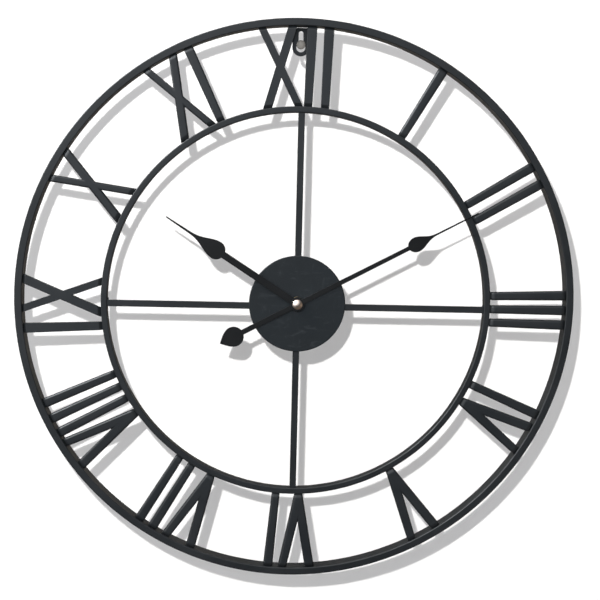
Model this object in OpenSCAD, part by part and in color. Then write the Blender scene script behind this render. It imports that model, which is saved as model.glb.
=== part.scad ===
// Skeleton wall clock: two steel rings joined by roman numerals, four spokes,
// a centre disc, spade hands and a quartz movement with its wheels.
// The clock faces -Y, +Z is up, and Y = 0 is the wall. The origin lies on the
// hands' axis. Parts are drawn in a dial frame: x to the right, y up and z as the
// height above the wall, which facing() turns to face -Y.

/* [Rings] */
// Outside diameter of the outer ring
clock_d = 600; // [590:1:620]
// Width of the outer ring's front face
ring_face = 8.5; // [7.5:0.5:9]
// Depth of the outer ring, from the wall to its front face
ring_depth = 18; // [18:0.5:22]
// Outside diameter of the inner ring
inner_ring_d = 418; // [414:1:420]
// Width of the inner ring's front face
inner_ring_face = 7; // [6:0.5:8]
// Depth of the inner ring
inner_ring_depth = 12; // [10:0.5:14]
// Wall of the rolled tubes that make both rings
tube_wall = 1; // [0.8:0.1:1.2]
// How far the inner ring and the numerals lie behind the outer ring's front
front_step = 0.5; // [0.2:0.1:1]

/* [Numerals] */
// Depth of the pressed numerals
numeral_depth = 6; // [5:0.5:8]
// Sheet thickness of the numerals
numeral_sheet = 1; // [0.8:0.1:1.2]
// Width of an upright stroke at the inner ring
stroke_in = 8.6; // [8:0.1:9]
// Width of an upright stroke at the outer ring
stroke_out = 10.3; // [10:0.1:11]
// Width of the X's broad stroke
x_broad = 9.6; // [9:0.1:10]
// Width of the X's narrow stroke
x_narrow = 8.1; // [7.5:0.1:8.5]
// Half the spread of an X at either ring
x_spread = 16.6; // [16:0.1:17]
// Half the width of a V at the outer ring
v_half = 20.2; // [19.5:0.1:21]
// Width of a V's blunt point
v_point = 8.4; // [8:0.1:9]
// Radius at which the notch of a V ends
v_notch = 240; // [236:1:244]
// Length of the sloped ends of the strokes
end_slope = 3; // [2:0.5:4]

/* [Spokes and disc] */
// Width of a spoke
spoke_w = 7; // [6:0.5:8]
// Thickness of a spoke
spoke_t = 3; // [2:0.5:3]
// How far the spokes at three and nine lie below the hands' axis
spoke_drop = 3; // [0:0.5:4]
// Diameter of the centre disc
disc_d = 102; // [98:1:106]
// Thickness of the centre disc
disc_t = 1.2; // [1:0.1:1.5]

/* [Hanger] */
// Width of the hanging tab
tab_w = 18; // [17:0.5:20]
// Thickness of the hanging tab
tab_t = 2; // [1.5:0.5:3]
// Distance of the tab's middle from the twelve o'clock line
tab_x = -2; // [-4:0.5:4]
// Radius of the keyhole's round opening
key_r = 4.8; // [4.5:0.1:5.2]
// Width of the keyhole's slot
key_slot = 5; // [4:0.5:5.5]

/* [Hands] */
// Length of the minute hand from its axis to its tip
minute_len = 216; // [200:1:225]
// Length of the hour hand from its axis to its tip
hour_len = 167; // [155:1:175]
// Thickness of the hands
hand_t = 0.8; // [0.6:0.1:1]
// Angle of the minute hand at rest, clockwise from twelve
minute_angle = 62; // [0:1:359]
// Angle of the hour hand at rest, clockwise from twelve
hour_angle = 302.7; // [0:0.1:359]

/* [Movement] */
// Side of the square movement case
case_w = 56; // [56:0.5:58]
// Depth of the movement case
case_depth = 15.8; // [15.8:0.1:16]
// Outer radius of the threaded stem
stem_r = 4; // [3.9:0.05:4.1]
// Diameter of the battery
battery_d = 14.2; // [13.8:0.1:14.2]

/* [Hidden] */
$fn = 180;

black = [0.14, 0.15, 0.16];
eps = 0.1;                                  // overshoot of a cut past the face it opens

// Rings, numerals and spokes
ring_r = clock_d / 2;
ring_inner_r = ring_r - ring_face;
band_r = inner_ring_d / 2;                  // where the numerals start
inner_open_r = band_r - inner_ring_face;
dial_front = ring_depth - front_step;
numeral_back = dial_front - numeral_depth;
end_drop = 2.5;                             // depth of the sloped stroke ends
v_leg_left = 10.4;
v_leg_right = 9.3;
// Letters of each numeral: the angle clockwise from the hour, and the letter's own lean
NUMERALS = [
    [["I", 0.7, 0]],
    [["I", -1.4, 0], ["I", 3.1, -3.6]],
    [["I", -3, 1.6], ["I", 0.5, -0.6], ["I", 4, -3]],
    [["I", -6.1, -0.4], ["V", -0.2, 0.4]],
    [["V", -0.2, 0.5]],
    [["V", -1.4, 2], ["I", 5, 0]],
    [["V", -4.8, 0], ["I", 1.6, -0.6], ["I", 5.3, -3.7]],
    [["V", -5.3, 0.4], ["I", 0, 1.4], ["I", 3.6, 0], ["I", 7.4, -1.3]],
    [["I", -6.8, 4.2], ["X", 1, 0.4]],
    [["X", -1, 0.6]],
    [["X", -1, 0.6], ["I", 5.9, -1.4]],
    [["X", -5.4, 0], ["I", 1.8, 0], ["I", 5.9, -4.2]]];

// Stack on the hands' axis, as heights above the wall
case_front = case_depth;
front_wall = 0.8;
case_inside = case_depth - front_wall;
washer_t = 0.8;
disc_back = case_front + washer_t;
disc_front = disc_back + disc_t;
brass_washer_t = 0.5;
nut_t = 2;
nut_back = disc_front + brass_washer_t;
stem_end = nut_back + nut_t + 0.3;
hour_collet_back = stem_end + 0.3;
hour_hand_back = hour_collet_back + 1.1;
pipe_end = hour_hand_back + hand_t + 0.4;
minute_collet_back = pipe_end + 0.2;
minute_hand_back = minute_collet_back + 0.6;
cap_back = minute_hand_back + hand_t;
cap_r = 5.2;
cap_side = 1.6;
cap_dome = 2.6;
arbor_end = cap_back + 2.4;
pipe_r = 2.5;
arbor_r = 1.5;
seconds_r = 0.5;
running = 0.05;                             // radial clearance of a running fit
hour_eye_r = 8;
minute_eye_r = 7.3;

// Movement case
case_half = case_w / 2;
wall = 1.2;
inside = case_half - wall;
bay_top = -12.3;                            // top of the battery bay
gear_low = bay_top + 1;                     // bottom of the wheels' space
cover_t = 1.2;
cover_lip = 0.6;                            // rebate that the back cover drops into
battery_r = battery_d / 2;
battery_y = -inside + battery_r + 0.1;
battery_z = case_inside - battery_r - 0.2;
battery_len = 49.5;

// Wheels: module of the teeth of each pair
rotor_module = 0.3;                         // rotor pinion and step wheel
step_module = 0.43;                         // step pinion and seconds wheel
third_module = 0.3;                         // seconds pinion and third wheel
hands_module = 0.35;                        // minute pinion, motion wheel, setting pinion
leaves = 8;                                 // leaves of every pinion in the going train
step_teeth = 48;
seconds_teeth = 40;
third_teeth = 60;
centre_teeth = 64;
minute_leaves = 12;
motion_teeth = 36;
motion_leaves = 10;
hour_teeth = 40;
setting_leaves = 12;
step_dist = step_module * (leaves + seconds_teeth) / 2;
rotor_dist = rotor_module * (leaves + step_teeth) / 2;
third_dist = third_module * (leaves + third_teeth) / 2;
centre_module = 2 * third_dist / (leaves + centre_teeth);
motion_dist = hands_module * (minute_leaves + motion_teeth) / 2;
hour_module = 2 * motion_dist / (motion_leaves + hour_teeth);
setting_dist = hands_module * (motion_teeth + setting_leaves) / 2;
step_dir = 130;
rotor_dir = 150;
third_dir = 20;
motion_dir = 180;
setting_dir = 200;
step_at = step_dist * heading(step_dir);
rotor_at = step_at + rotor_dist * heading(rotor_dir);
third_at = third_dist * heading(third_dir);
motion_at = motion_dist * heading(motion_dir);
setting_at = motion_at + setting_dist * heading(setting_dir);
wheel_t = 0.8;
pivot_r = 0.3;
pivot_back = 0.8;                           // height of the arbors' rear ends
bridge_back = 10.2;
bridge_t = 0.8;
bridge_front = bridge_back + bridge_t;
pivot_front = bridge_back + 0.5;
stator_back = 7;
stator_t = 1;
stator_ring_r = 5.6;
rotor_gap_r = 3.5;
magnet_r = 3;
core_back = stator_back + stator_t;
core_t = 1.2;
coil_y = 22;
coil_left = -14;
coil_right = 4;
coil_flange_r = 4.1;
knob_r = 4.5;
knob_cup = 2.6;                             // depth of the knob's recess
board_back = 8.2;
board_t = 1;

function heading(a) = [cos(a), sin(a)];
// Half width of a tooth, in degrees, at radius r: pitch radius p, n teeth
function tooth_half(r, p, n) = 0.4 * 180 / n - max(r - p, -0.2 * p / n) * tan(20) / p * 57.3;
// Outline of a spur gear with n teeth of module m, with a tooth centred on angle a
function gear_points(n, m, a) =
    let (p = n * m / 2, tip = p + 0.85 * m, root = p - 1.2 * m)
    [for (i = [0:n - 1], s = [[-1, root], [-1, p], [-1, tip], [1, tip], [1, p], [1, root]])
        s[1] * heading(a + i * 360 / n + s[0] * tooth_half(s[1], p, n))];
// Half width of a hand's leaf at distance u: centre c, radius r, ends at back and front
function leaf_half(u, c, r, back, front, stem, needle) =
    u < c ? max(stem, r * sqrt(max(0, 1 - pow((c - u) / (c - back), 2))))
          : needle + (r - needle) * pow((1 + cos(180 * (u - c) / (front - c))) / 2, 1.7);

module facing() {
    rotate([90, 0, 0]) children();
}

// Turns the dial frame so that +y points to an angle clockwise from twelve
module toward(angle) {
    rotate([0, 0, -angle]) children();
}

module disc_at(r, z, t, at = [0, 0]) {
    translate([at[0], at[1], z]) cylinder(r = r, h = t);
}

module washer_at(r, bore, z, t) {
    difference() {
        disc_at(r, z, t);
        disc_at(bore, z - eps, t + 2 * eps);
    }
}

module box_at(x, y, z) {
    translate([x[0], y[0], z[0]]) cube([x[1] - x[0], y[1] - y[0], z[1] - z[0]]);
}

module gear_at(n, m, a, z, t, at = [0, 0]) {
    translate([at[0], at[1], z]) linear_extrude(t) polygon(gear_points(n, m, a));
}

module tube_ring(outer, face, front, depth) {
    rotate_extrude() difference() {
        translate([outer - face, front - depth]) square([face, depth]);
        translate([outer - face + tube_wall, front - depth + tube_wall])
            square([face - 2 * tube_wall, depth - 2 * tube_wall]);
    }
}

module outer_ring() {
    color(black) facing() tube_ring(ring_r, ring_face, ring_depth, ring_depth);
}

module inner_ring() {
    color(black) facing() tube_ring(band_r, inner_ring_face, dial_front, inner_ring_depth);
}

// A straight stroke across the band, from x_in at the inner ring to x_out at the outer
module stroke(x_in, w_in, x_out, w_out) {
    polygon([[x_in - w_in / 2, band_r - 1], [x_in + w_in / 2, band_r - 1],
             [x_out + w_out / 2, ring_inner_r + 1], [x_out - w_out / 2, ring_inner_r + 1]]);
}

// One letter, with its edges drawn in by the given inset
module letter(kind, inset) {
    if (kind == "I")
        stroke(0, stroke_in - 2 * inset, 0, stroke_out - 2 * inset);
    if (kind == "X") {
        stroke(-x_spread, x_broad - 2 * inset, x_spread, x_broad - 2 * inset);
        stroke(x_spread, x_narrow - 2 * inset, -x_spread, x_narrow - 2 * inset);
    }
    if (kind == "V") {
        top = ring_inner_r + 1;
        point = v_point / 2 - inset;
        half = v_half - inset;
        left = v_leg_left - 2 * inset;
        right = v_leg_right - 2 * inset;
        notch = v_notch - inset * (top - v_notch) / (v_half - v_leg_left);
        polygon([[-point, band_r - 1], [-half, top], [left - half, top], [0, notch],
                 [half - right, top], [half, top], [point, band_r - 1]]);
    }
}

// A lean clockwise about the middle of the band
module leaning(angle) {
    middle = (band_r + ring_inner_r) / 2;
    translate([0, middle]) rotate(-angle) translate([0, -middle]) children();
}

// The numeral's outline, trimmed to the band between the rings
module numeral_outline(hour, inset, end_gap) {
    intersection() {
        difference() {
            circle(r = ring_inner_r - end_gap);
            circle(r = band_r + end_gap);
        }
        for (item = NUMERALS[hour - 1])
            toward(30 * hour + item[1]) leaning(item[2]) letter(item[0], inset);
    }
}

// Cones that slope the strokes' ends down to both rings
module end_slopes() {
    rotate_extrude() {
        polygon([[ring_inner_r - end_slope, dial_front], [ring_inner_r, dial_front - end_drop],
                 [ring_inner_r + 1, dial_front - end_drop], [ring_inner_r + 1, dial_front + 1],
                 [ring_inner_r - end_slope, dial_front + 1]]);
        polygon([[band_r + end_slope, dial_front], [band_r + end_slope, dial_front + 1],
                 [band_r - 1, dial_front + 1], [band_r - 1, dial_front - end_drop],
                 [band_r, dial_front - end_drop]]);
    }
}

// A numeral pressed as a shallow tray that is open at the back
module numeral(hour) {
    color(black) facing() difference() {
        translate([0, 0, numeral_back]) linear_extrude(numeral_depth) numeral_outline(hour, 0, 0);
        translate([0, 0, numeral_back - eps]) linear_extrude(numeral_depth - numeral_sheet + eps)
            numeral_outline(hour, numeral_sheet, end_slope + 0.5);
        end_slopes();
    }
}

module spoke(hour) {
    spoke_start = case_half + 2;
    drop = hour % 6 == 0 ? 0 : spoke_drop;
    color(black) facing() intersection() {
        translate([0, -drop, 0]) toward(30 * hour)
            box_at([-spoke_w / 2, spoke_w / 2], [spoke_start, band_r], [disc_back - spoke_t, disc_back]);
        disc_at(inner_open_r, 0, ring_depth);
    }
}

module centre_disc() {
    color(black) facing() washer_at(disc_d / 2, stem_r + running, disc_back, disc_t);
}

module hanger_tab() {
    tab_r = tab_w / 2;
    tab_y = ring_inner_r - 20.5;
    slot_top = ring_inner_r - 6;
    color(black) facing() linear_extrude(tab_t) difference() {
        intersection() {
            union() {
                translate([tab_x, tab_y]) circle(r = tab_r);
                translate([tab_x - tab_r, tab_y]) square([tab_w, ring_face + 20]);
            }
            circle(r = ring_inner_r);
        }
        translate([tab_x, tab_y]) circle(r = key_r);
        translate([tab_x - key_slot / 2, tab_y]) square([key_slot, slot_top - tab_y]);
        translate([tab_x, slot_top]) circle(r = key_slot / 2);
    }
}

// Movement case
module post(at, z, r = 1.4) {
    disc_at(r, z, case_inside - z, at);
}

module blind_hole(r, at, z) {
    disc_at(r + running, z, 3, at);
}

module front_case() {
    lip = inside + cover_lip;
    color("dimgray") facing() difference() {
        union() {
            difference() {
                box_at([-case_half, case_half], [-case_half, case_half], [0, case_front]);
                box_at([-inside, inside], [gear_low, inside], [-eps, case_inside]);
                box_at([-inside, inside], [-inside, bay_top], [-eps, case_inside]);
                box_at([-lip, lip], [gear_low - cover_lip, lip], [-eps, cover_t]);
                // Ways for the contact strips through the bay's wall
                for (side = [-1, 1])
                    box_at([side * 26.5 - 0.3, side * 26.5 + 0.3], [bay_top - eps, gear_low + eps],
                           [5.8, 8.4]);
            }
            for (at = [[-20, 6], [13, 12], [12, -9.5]]) post(at, bridge_front);
            for (x = [coil_left - 3.5, coil_right + 2]) post([x, coil_y], core_back + core_t);
            for (at = [[15, 24.3], [24.3, 16.5]]) post(at, board_back + board_t);
        }
        disc_at(stem_r, case_inside - 1, 3);
        for (at = [motion_at, setting_at])
            translate([0, 0, case_inside - eps]) disc_at(seconds_r + running, 0, 0.5, at);
    }
}

module back_cover() {
    edge = inside + cover_lip - running;
    arbors = [[0, 0], step_at, rotor_at, third_at];
    color("dimgray") facing() difference() {
        union() {
            box_at([-edge, edge], [gear_low - cover_lip + running, edge], [0, cover_t]);
            for (at = arbors) disc_at(1.2, cover_t, 1, at);
            disc_at(knob_r + 1, 0, knob_cup + 0.8, setting_at);
        }
        for (at = arbors) disc_at(pivot_r + running, pivot_back - 0.2, 3, at);
        disc_at(knob_r + 0.2, -eps, knob_cup + eps, setting_at);
        disc_at(1 + running, 0, 5, setting_at);
    }
}

module bridge_plate() {
    color("gainsboro") facing() difference() {
        union() {
            box_at([-22, 15], [-11, 15.5], [bridge_back, bridge_front]);
            for (turn = [50, 230])
                disc_at(0.9, core_back, bridge_back - core_back, rotor_at + 4.6 * heading(turn));
        }
        disc_at(arbor_r + running, 0, case_front);
        disc_at(1 + running, 0, case_front, setting_at);
        for (at = [step_at, rotor_at, third_at]) disc_at(pivot_r + running, 0, case_front, at);
        disc_at(seconds_r + running, bridge_back + 0.2, 2, motion_at);
    }
}

module threaded_stem() {
    flange_r = 5.5;
    flange_t = 0.8;
    color("gold") facing() difference() {
        union() {
            disc_at(flange_r, case_inside - flange_t, flange_t);
            disc_at(stem_r, case_inside - flange_t, stem_end - case_inside + flange_t);
        }
        disc_at(pipe_r + running, 0, 2 * stem_end);
    }
}

module rubber_washer() {
    color("black") facing() washer_at(9, stem_r + running, case_front, washer_t);
}

module brass_washer() {
    color("gold") facing() washer_at(7, stem_r + running, disc_front, brass_washer_t);
}

module stem_nut() {
    across_flats = 11;
    color("gold") facing() difference() {
        translate([0, 0, nut_back]) cylinder(d = across_flats / cos(30), h = nut_t, $fn = 6);
        disc_at(stem_r, 0, 2 * stem_end);
    }
}

// Stepping motor
module stator() {
    lug_w = 4;
    arm_low = 14.6;
    color("silver") facing() translate([0, 0, stator_back]) linear_extrude(stator_t) difference() {
        union() {
            translate(rotor_at) circle(r = stator_ring_r);
            translate([coil_left - 5, rotor_at[1]]) square([lug_w, coil_y + 2 - rotor_at[1]]);
            translate([rotor_at[0], arm_low]) square([coil_right + 4 - rotor_at[0], 2.4]);
            translate([coil_right + 1, arm_low]) square([lug_w, coil_y + 2 - arm_low]);
        }
        translate(rotor_at) circle(r = rotor_gap_r);
    }
}

module coil_core() {
    color("silver") facing()
        box_at([coil_left - 5, coil_right + 5], [coil_y - 1.5, coil_y + 1.5],
               [core_back, core_back + core_t]);
}

// A shape turned about the coil's axis, from x = start to x = end
module coil_round(r, start, end) {
    translate([start, coil_y, core_back + core_t / 2]) rotate([0, 90, 0])
        cylinder(r = r, h = end - start);
}

module coil_bobbin() {
    color("ivory") facing() difference() {
        union() {
            coil_round(2.4, coil_left, coil_right);
            coil_round(coil_flange_r, coil_left, coil_left + 0.8);
            coil_round(coil_flange_r, coil_right - 0.8, coil_right);
        }
        box_at([coil_left - 1, coil_right + 1], [coil_y - 1.5, coil_y + 1.5],
               [core_back, core_back + core_t]);
    }
}

module coil_winding() {
    color("chocolate") facing() difference() {
        coil_round(3.8, coil_left + 0.8, coil_right - 0.8);
        coil_round(2.4, coil_left, coil_right);
    }
}

module circuit_board() {
    color("darkgreen") facing()
        box_at([13, 26], [14.6, 26], [board_back, board_back + board_t]);
}

module clock_chip() {
    color("black") facing() disc_at(2.2, board_back - 0.8, 0.8, [18, 21.5]);
}

module quartz_crystal() {
    can_r = 1;
    color("silver") facing() translate([22.8, 17, board_back - can_r]) rotate([-90, 0, 0])
        cylinder(r = can_r, h = 6);
}

// Contact plate at one end of the bay (side 1 is the right), with its strip along the wall
module contact_plate(side, strip_top) {
    x = side > 0 ? [26.35, 26.65] : [-26.65, -26.35];
    box_at(x, [-26, bay_top - 0.7], [1, 14.5]);
    box_at(x, [bay_top - 0.8, strip_top], [6, 8.1]);
}

module contact_plus() {
    color("silver") facing() {
        contact_plate(1, 20);
        box_at([24.8, 26.4], [17.5, 20], [board_back - 0.4, board_back]);
        translate([25.1, battery_y, battery_z]) rotate([0, 90, 0]) cylinder(r = 2, h = 1.3);
    }
}

module contact_minus() {
    color("silver") facing() {
        contact_plate(-1, 26.65);
        box_at([-26.65, 17.5], [26.35, 26.65], [6, 8.1]);
        box_at([15.5, 17.5], [25, 26.4], [board_back - 0.4, board_back]);
        translate([-26.4, battery_y, battery_z]) rotate([0, 90, 0]) cylinder(r1 = 4.5, r2 = 2.8, h = 1);
    }
}

module battery() {
    start = -25.4;
    color("darkorange") facing() translate([start, battery_y, battery_z]) rotate([0, 90, 0]) {
        cylinder(r = battery_r, h = battery_len);
        cylinder(r = 2.75, h = battery_len + 1);
    }
}

// Hands
module hand_plate(angle, z, eye_r, bore, outline) {
    translate([0, 0, z]) toward(angle) linear_extrude(hand_t) difference() {
        union() {
            circle(r = eye_r);
            polygon(outline);
        }
        circle(r = bore);
    }
}

// Outline of a pointed leaf hand from u = 0 outwards, as points [side, distance]
function hand_outline(len, stem, stem_end_half, c, r, back, front, needle, tip) =
    let (half = concat(
        [[stem, 0], [stem_end_half, back]],
        [for (i = [1:12]) let (u = back + (c - back) * (1 - cos(7.5 * i)))
            [leaf_half(u, c, r, back, front, stem_end_half, needle), u]],
        [for (i = [1:12]) let (u = c + (front - c) * i / 12)
            [leaf_half(u, c, r, back, front, stem_end_half, needle), u]],
        [[tip, len - 1], [tip / 3, len]]))
    concat(half, [for (i = [len(half) - 1:-1:0]) [-half[i][0], half[i][1]]]);

// Outline of the counterweight's stem and onion-shaped end, pointing to -y
function tail_outline(stem, c, r, neck, tip) =
    let (half = concat(
        [[stem, 0], [stem, -neck]],
        [for (i = [1:10]) let (u = neck + (c - neck) * (1 - cos(9 * i)))
            [max(stem, r * sqrt(max(0, 1 - pow((c - u) / (c - neck), 2)))), -u]],
        [for (i = [1:10]) let (t = i / 10) [r * cos(90 * t), -c - (tip - c) * t]]))
    concat(half, [for (i = [len(half) - 2:-1:0]) [-half[i][0], half[i][1]]]);

module minute_hand() {
    color(black) facing() {
        hand_plate(minute_angle, minute_hand_back, minute_eye_r, arbor_r,
                   hand_outline(minute_len, 2.7, 2.25, 142, 8, 132.5, 169, 1, 0.7));
        translate([0, 0, minute_hand_back]) toward(minute_angle) linear_extrude(hand_t)
            difference() {
                polygon(tail_outline(2.8, 76, 10.8, 65.3, 92.5));
                circle(r = minute_eye_r - 1);
            }
    }
}

module hour_hand() {
    color(black) facing()
        hand_plate(hour_angle, hour_hand_back, hour_eye_r, pipe_r,
                   hand_outline(hour_len, 3.9, 3.7, 103.5, 9.9, 94, 142, 1.25, 0.7));
}

module minute_collet() {
    color(black) facing() washer_at(3.5, arbor_r, minute_collet_back, minute_hand_back - minute_collet_back);
}

module hour_collet() {
    color(black) facing() washer_at(4.5, pipe_r, hour_collet_back, hour_hand_back - hour_collet_back);
}

module cap_nut() {
    dome_r = (cap_r * cap_r + cap_dome * cap_dome) / (2 * cap_dome);
    color("gold") facing() difference() {
        intersection() {
            disc_at(cap_r, cap_back, cap_side + cap_dome);
            translate([0, 0, cap_back + cap_side + cap_dome - dome_r]) sphere(r = dome_r);
        }
        disc_at(arbor_r, cap_back - 1, arbor_end - cap_back + 1);
    }
}

// Wheels that carry the hands
module minute_arbor() {
    back = 8;
    color("silver") facing() difference() {
        union() {
            disc_at(arbor_r, back, arbor_end - back);
            disc_at(2.6, back, 0.5);
        }
        disc_at(seconds_r + running, back - 1, stem_end - back + 2);
    }
}

module clutch_spring() {
    color("silver") facing() washer_at(3, arbor_r, 9.5, 0.3);
}

module minute_pinion() {
    color("ivory") facing() difference() {
        gear_at(minute_leaves, hands_module, motion_dir + 180 / minute_leaves, 11.4, 1.2);
        disc_at(arbor_r, 0, case_front);
    }
}

module motion_wheel() {
    wheel_z = 11.6;
    pinion_z = wheel_z + wheel_t;
    color("ivory") facing() {
        gear_at(motion_teeth, hands_module, motion_dir + 180, wheel_z, wheel_t, motion_at);
        gear_at(motion_leaves, hour_module, motion_dir + 180, pinion_z, 2, motion_at);
        disc_at(seconds_r, bridge_back + 0.3, case_inside + 0.3 - bridge_back - 0.3, motion_at);
    }
}

module hour_wheel() {
    wheel_z = 13.2;
    color("ivory") facing() difference() {
        union() {
            gear_at(hour_teeth, hour_module, motion_dir + 180 / hour_teeth, wheel_z, wheel_t);
            disc_at(pipe_r, wheel_z, pipe_end - wheel_z);
        }
        disc_at(arbor_r + running, 0, 2 * stem_end);
    }
}

module setting_knob() {
    grips = 18;
    color("dimgray") facing() {
        translate([setting_at[0], setting_at[1], 0.4]) linear_extrude(2) difference() {
            circle(r = knob_r);
            for (i = [0:grips - 1])
                translate((knob_r + 0.15) * heading(i * 360 / grips)) circle(r = 0.4);
        }
        disc_at(1, 2.3, 9.2, setting_at);
        disc_at(seconds_r, 11, case_inside + 0.3 - 11, setting_at);
    }
}

module setting_pinion() {
    mesh = setting_dir + 180 + 180 / setting_leaves;
    // The motion wheel's tooth nearest to this pinion, as an offset from the line between them
    offset_angle = (setting_dir - motion_dir) % (360 / motion_teeth);
    color("ivory") facing() difference() {
        gear_at(setting_leaves, hands_module, mesh + offset_angle * motion_teeth / setting_leaves,
                11.5, 1, setting_at);
        disc_at(seconds_r, 0, case_front, setting_at);
    }
}

// Going train, from the rotor to the centre wheel
module rotor_pinion() {
    color("ivory") facing() {
        gear_at(leaves, rotor_module, rotor_dir + 180 + 180 / leaves, 2.8, 1.4, rotor_at);
        disc_at(0.8, 4.2, 5, rotor_at);
        disc_at(pivot_r, pivot_back, pivot_front - pivot_back, rotor_at);
    }
}

module rotor_magnet() {
    magnet_back = 6.2;
    color("darkslategray") facing() translate([rotor_at[0], rotor_at[1], 0])
        washer_at(magnet_r, 0.8, magnet_back, 2.5);
}

module step_wheel() {
    mesh = step_dir + 180 + 180 / leaves;
    color("ivory") facing() {
        gear_at(step_teeth, rotor_module, rotor_dir, 3, wheel_t, step_at);
        gear_at(leaves, step_module, mesh, 3.8, 2.2, step_at);
        disc_at(pivot_r, pivot_back, pivot_front - pivot_back, step_at);
    }
}

module seconds_wheel() {
    wheel_z = 4.8;
    pinion_z = 6.1;
    color("ivory") facing() {
        gear_at(seconds_teeth, step_module, step_dir, wheel_z, wheel_t);
        disc_at(1, wheel_z, pinion_z - wheel_z);
        gear_at(leaves, third_module, third_dir + 180 / leaves, pinion_z, 1.7);
        disc_at(pivot_r, pivot_back, wheel_z);
        disc_at(seconds_r, pinion_z, stem_end + 0.5 - pinion_z);
    }
}

module third_wheel() {
    color("ivory") facing() {
        gear_at(third_teeth, third_module, third_dir + 180, 6.6, wheel_t, third_at);
        gear_at(leaves, centre_module, third_dir + 180, 7.4, 2.4, third_at);
        disc_at(pivot_r, pivot_back, pivot_front - pivot_back, third_at);
    }
}

module centre_wheel() {
    grip = 0.03;                            // radial clearance on the minute arbor
    color("ivory") facing() difference() {
        gear_at(centre_teeth, centre_module, third_dir + 180 / centre_teeth, 8.6, wheel_t);
        disc_at(arbor_r + grip, 0, case_front);
    }
}

outer_ring();
inner_ring();
centre_disc();
hanger_tab();
for (hour = [3:3:12])
    spoke(hour);
for (hour = [1:12])
    numeral(hour);
front_case();
back_cover();
bridge_plate();
threaded_stem();
rubber_washer();
brass_washer();
stem_nut();
stator();
coil_core();
coil_bobbin();
coil_winding();
circuit_board();
clock_chip();
quartz_crystal();
contact_plus();
contact_minus();
battery();
minute_arbor();
minute_pinion();
clutch_spring();
minute_collet();
minute_hand();
cap_nut();
hour_wheel();
hour_collet();
hour_hand();
motion_wheel();
setting_knob();
setting_pinion();
centre_wheel();
third_wheel();
seconds_wheel();
step_wheel();
rotor_pinion();
rotor_magnet();
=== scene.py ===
"""The looks of a skeleton wall clock: rings, numerals, spokes, hands, fixings and quartz movement."""
import math

import bmesh
import bpy
from bpy.props import FloatProperty, FloatVectorProperty, PointerProperty
from mathutils import Matrix, Vector


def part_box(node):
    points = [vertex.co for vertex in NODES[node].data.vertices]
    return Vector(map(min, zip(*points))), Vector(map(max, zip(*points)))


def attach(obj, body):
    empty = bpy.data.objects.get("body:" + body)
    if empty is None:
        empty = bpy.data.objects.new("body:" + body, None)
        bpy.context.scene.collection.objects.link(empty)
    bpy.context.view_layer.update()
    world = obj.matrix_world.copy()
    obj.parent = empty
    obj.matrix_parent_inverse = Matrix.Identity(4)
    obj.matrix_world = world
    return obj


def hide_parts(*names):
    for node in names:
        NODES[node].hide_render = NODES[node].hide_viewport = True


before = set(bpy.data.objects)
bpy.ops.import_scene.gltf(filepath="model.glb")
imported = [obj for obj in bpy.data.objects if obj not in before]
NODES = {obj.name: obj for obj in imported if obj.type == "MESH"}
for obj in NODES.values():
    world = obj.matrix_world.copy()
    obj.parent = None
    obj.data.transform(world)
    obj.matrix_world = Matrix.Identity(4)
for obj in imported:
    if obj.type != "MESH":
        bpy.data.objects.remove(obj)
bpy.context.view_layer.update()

bl_info = {
    "name": "Skeleton Wall Clock",
    "version": (1, 0, 0),
    "blender": (4, 5, 0),
    "location": "3D View > Sidebar > Clock",
    "description": "Models and paints the pieces of a skeleton wall clock around its packed frame",
    "category": "Object",
}

MM = 0.001

# Letters of each numeral: the angle clockwise from the hour, and the letter's own lean
NUMERALS = [
    [("I", 0.7, 0)],
    [("I", -1.4, 0), ("I", 3.1, -3.6)],
    [("I", -3, 1.6), ("I", 0.5, -0.6), ("I", 4, -3)],
    [("I", -6.1, -0.4), ("V", -0.2, 0.4)],
    [("V", -0.2, 0.5)],
    [("V", -1.4, 2), ("I", 5, 0)],
    [("V", -4.8, 0), ("I", 1.6, -0.6), ("I", 5.3, -3.7)],
    [("V", -5.3, 0.4), ("I", 0, 1.4), ("I", 3.6, 0), ("I", 7.4, -1.3)],
    [("I", -6.8, 4.2), ("X", 1, 0.4)],
    [("X", -1, 0.6)],
    [("X", -1, 0.6), ("I", 5.9, -1.4)],
    [("X", -5.4, 0), ("I", 1.8, 0), ("I", 5.9, -4.2)],
]

# Half the band between the rings, and the radii where the letters meet each ring, in mm
HALF_BAND = 40.6
WELD_INNER_R = 209.6
WELD_OUTER_R = 290.9
# Weld beads at each end of a letter: place across the letter, and width, in mm
WELDS_INNER = {"I": [(0, 7)], "V": [(0, 6)], "X": [(-16.6, 7), (16.6, 6)]}
WELDS_OUTER = {"I": [(0, 8)], "V": [(-14.8, 7), (15.3, 7)], "X": [(16.6, 7), (-16.6, 6)]}

# Material slots of the wheels, plates and contacts that lie inside the case
WORKS = {
    "wheel_plastic": ["bridge_plate", "minute_pinion", "hour_wheel", "motion_wheel", "setting_pinion",
                      "centre_wheel", "third_wheel", "seconds_wheel", "step_wheel", "rotor_pinion",
                      "coil_bobbin"],
    "bright_steel": ["minute_arbor", "clutch_spring", "contact_plus", "contact_minus", "quartz_crystal"],
    "soft_iron": ["stator", "coil_core"],
    "coil_copper": ["coil_winding"],
    "board_green": ["circuit_board"],
    "chip_resin": ["clock_chip"],
    "magnet_ferrite": ["rotor_magnet"],
}


def length(name, description, default):
    return FloatProperty(name=name, description=description, default=default, min=0.0, unit="LENGTH",
                         subtype="DISTANCE", precision=5)


def colour(name, description, default):
    return FloatVectorProperty(name=name, description=description, default=default, size=3, min=0.0,
                               max=1.0, subtype="COLOR")


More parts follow.
